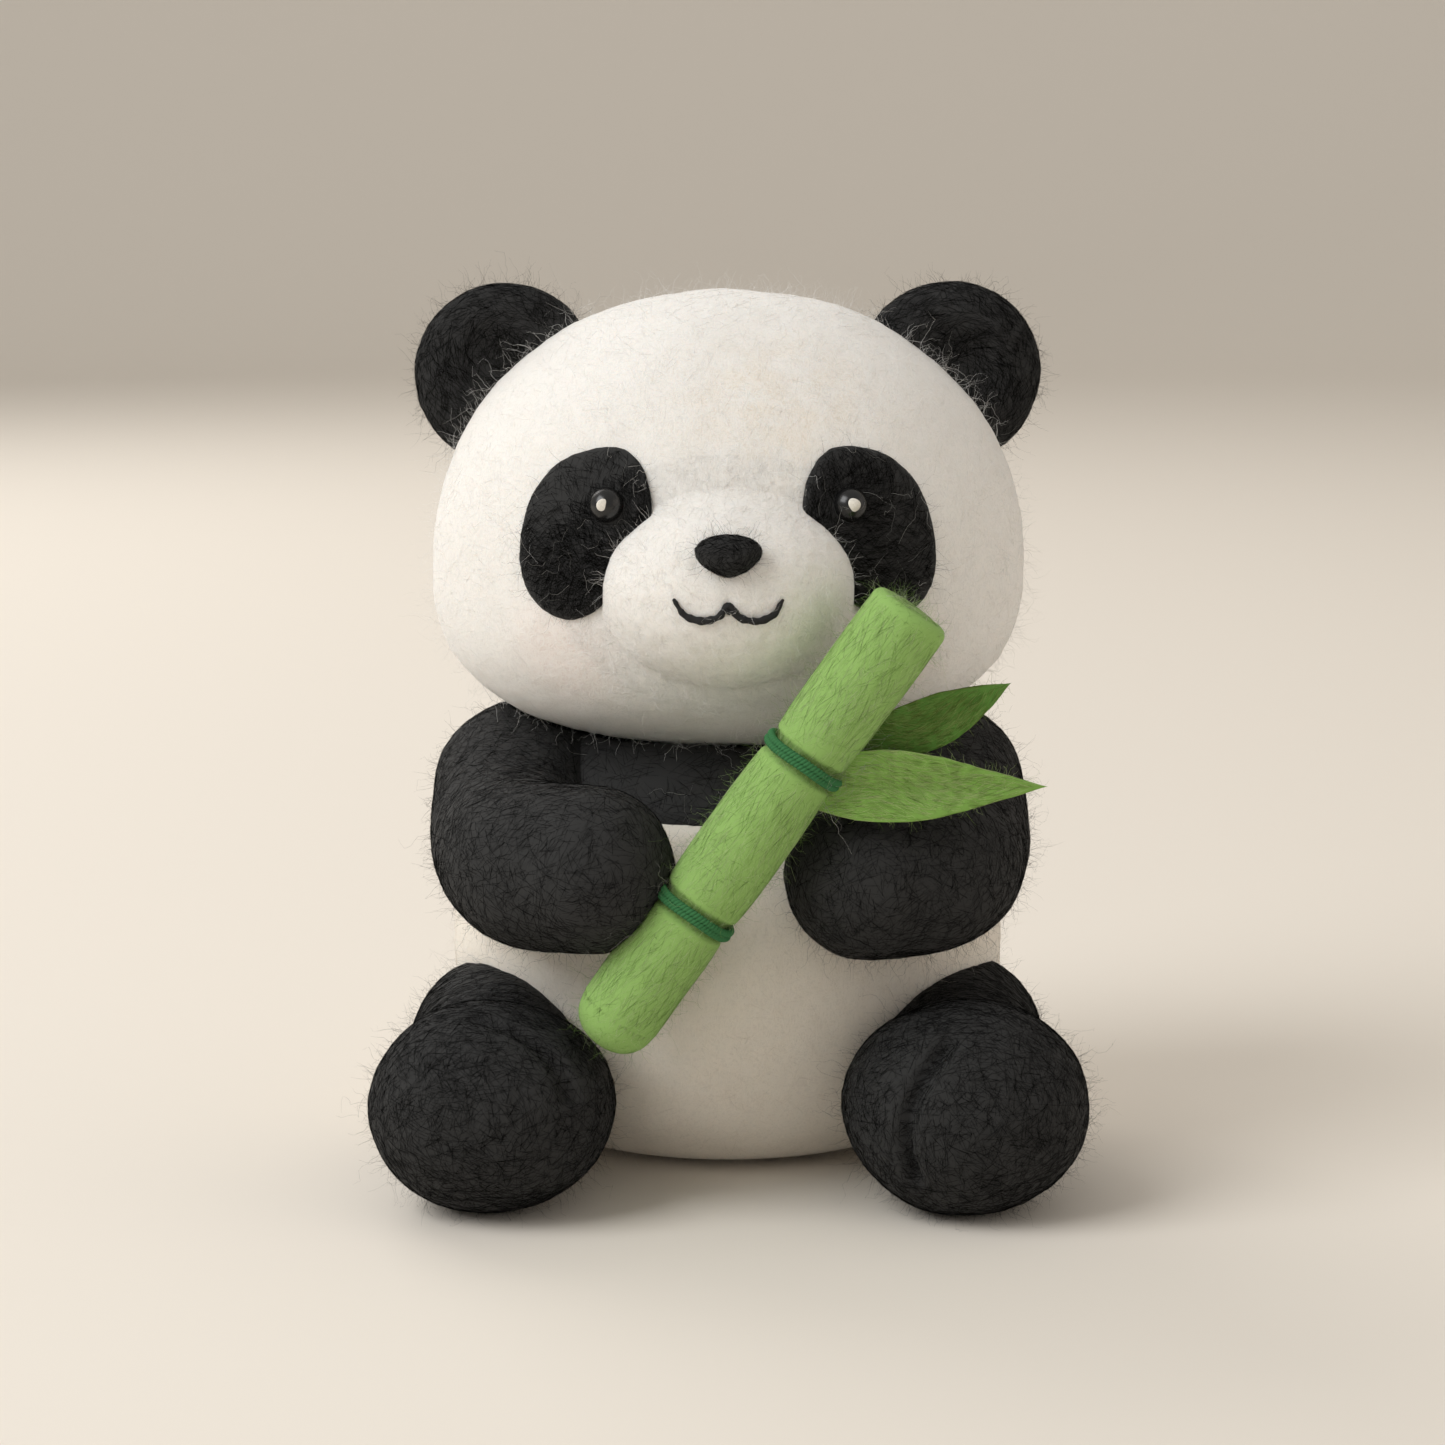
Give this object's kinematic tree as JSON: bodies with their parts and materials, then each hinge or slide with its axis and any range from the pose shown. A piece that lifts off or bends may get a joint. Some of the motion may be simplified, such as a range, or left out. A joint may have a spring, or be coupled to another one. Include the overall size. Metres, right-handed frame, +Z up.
{
  "type": "plush panda",
  "caption": "Small needle-felted wool panda sitting upright and hugging a green felt bamboo stalk with two leaves.",
  "frame": {"origin": "middle of the flat base the panda sits on, under the torso", "axes": "+Z up through the head, face towards -Y, +X towards the upper end of the stalk"},
  "size_m": [0.087, 0.0844, 0.11],
  "materials": {
    "white_wool": "matte needle-felted wool with fine loose fibres",
    "black_wool": "matte needle-felted wool with lighter loose fibres",
    "core_wool": "firm undyed core wool",
    "eye_bead": "semi-gloss black bead",
    "eye_glint": "small felted dot",
    "mouth_thread": "twisted wool thread",
    "stalk_felt": "needle-felted green wool",
    "leaf_felt": "flat green craft felt",
    "dark_leaf_felt": "flat darker green craft felt",
    "green_yarn": "twisted wool yarn"
  },
  "bodies": {
    "torso": {"torso_core": "core_wool", "belly_coat": "white_wool", "shoulder_yoke": "black_wool", "neck_stem": "core_wool", "tail": "white_wool"},
    "head": {"head_coat": "white_wool", "head_core": "core_wool", "muzzle": "white_wool", "nose": "black_wool", "mouth_strand": "mouth_thread", "eye_patch_left": "black_wool", "eye_patch_right": "black_wool", "eye_bead_left": "eye_bead", "eye_bead_right": "eye_bead", "eye_glint_left": "eye_glint", "eye_glint_right": "eye_glint"},
    "ear_left": {"ear_left": "black_wool"},
    "ear_right": {"ear_right": "black_wool"},
    "arm_left": {"arm_left": "black_wool"},
    "arm_right": {"arm_right": "black_wool"},
    "leg_left": {"thigh_left": "black_wool", "foot_left": "black_wool"},
    "leg_right": {"thigh_right": "black_wool", "foot_right": "black_wool"},
    "bamboo": {"stalk_wrap": "stalk_felt", "stalk_core": "core_wool", "stalk_cap": "stalk_felt", "band_lower": "green_yarn", "band_upper": "green_yarn", "leaf_upper": "dark_leaf_felt", "leaf_lower": "leaf_felt"}
  },
  "joints": [
    {"name": "head_turn", "type": "hinge", "parent": "torso", "child": "head", "pos_m": [0, -0.002, 0.0517], "axis": [0, 0, 1], "range_deg": [-20, 6], "stiffness_Nm_per_rad": 0.06},
    {"name": "ear_left_fold", "type": "hinge", "parent": "head", "child": "ear_left", "pos_m": [-0.0281, 0.0015, 0.0982], "axis": [-0.7071, 0, -0.7071], "range_deg": [0, 14], "stiffness_Nm_per_rad": 0.01},
    {"name": "ear_right_fold", "type": "hinge", "parent": "head", "child": "ear_right", "pos_m": [0.0281, 0.0015, 0.0982], "axis": [-0.7071, 0, 0.7071], "range_deg": [0, 14], "stiffness_Nm_per_rad": 0.01},
    {"name": "arm_left_open", "type": "hinge", "parent": "torso", "child": "arm_left", "pos_m": [-0.0252, -0.005, 0.0441], "axis": [0, 0, -1], "range_deg": [0, 32], "stiffness_Nm_per_rad": 0.03},
    {"name": "arm_right_open", "type": "hinge", "parent": "torso", "child": "arm_right", "pos_m": [0.0252, -0.005, 0.0441], "axis": [0, 0, 1], "range_deg": [0, 32], "stiffness_Nm_per_rad": 0.03},
    {"name": "leg_left_splay", "type": "hinge", "parent": "torso", "child": "leg_left", "pos_m": [-0.0286, -0.011, 0.0146], "axis": [0, 0, -1], "range_deg": [0, 24], "stiffness_Nm_per_rad": 0.05},
    {"name": "leg_right_splay", "type": "hinge", "parent": "torso", "child": "leg_right", "pos_m": [0.0286, -0.011, 0.0146], "axis": [0, 0, 1], "range_deg": [0, 24], "stiffness_Nm_per_rad": 0.05},
    {"name": "stalk_pull", "type": "slide", "parent": "torso", "child": "bamboo", "axis": [0, -1, 0], "range_m": [0, 0.03]}
  ]
}
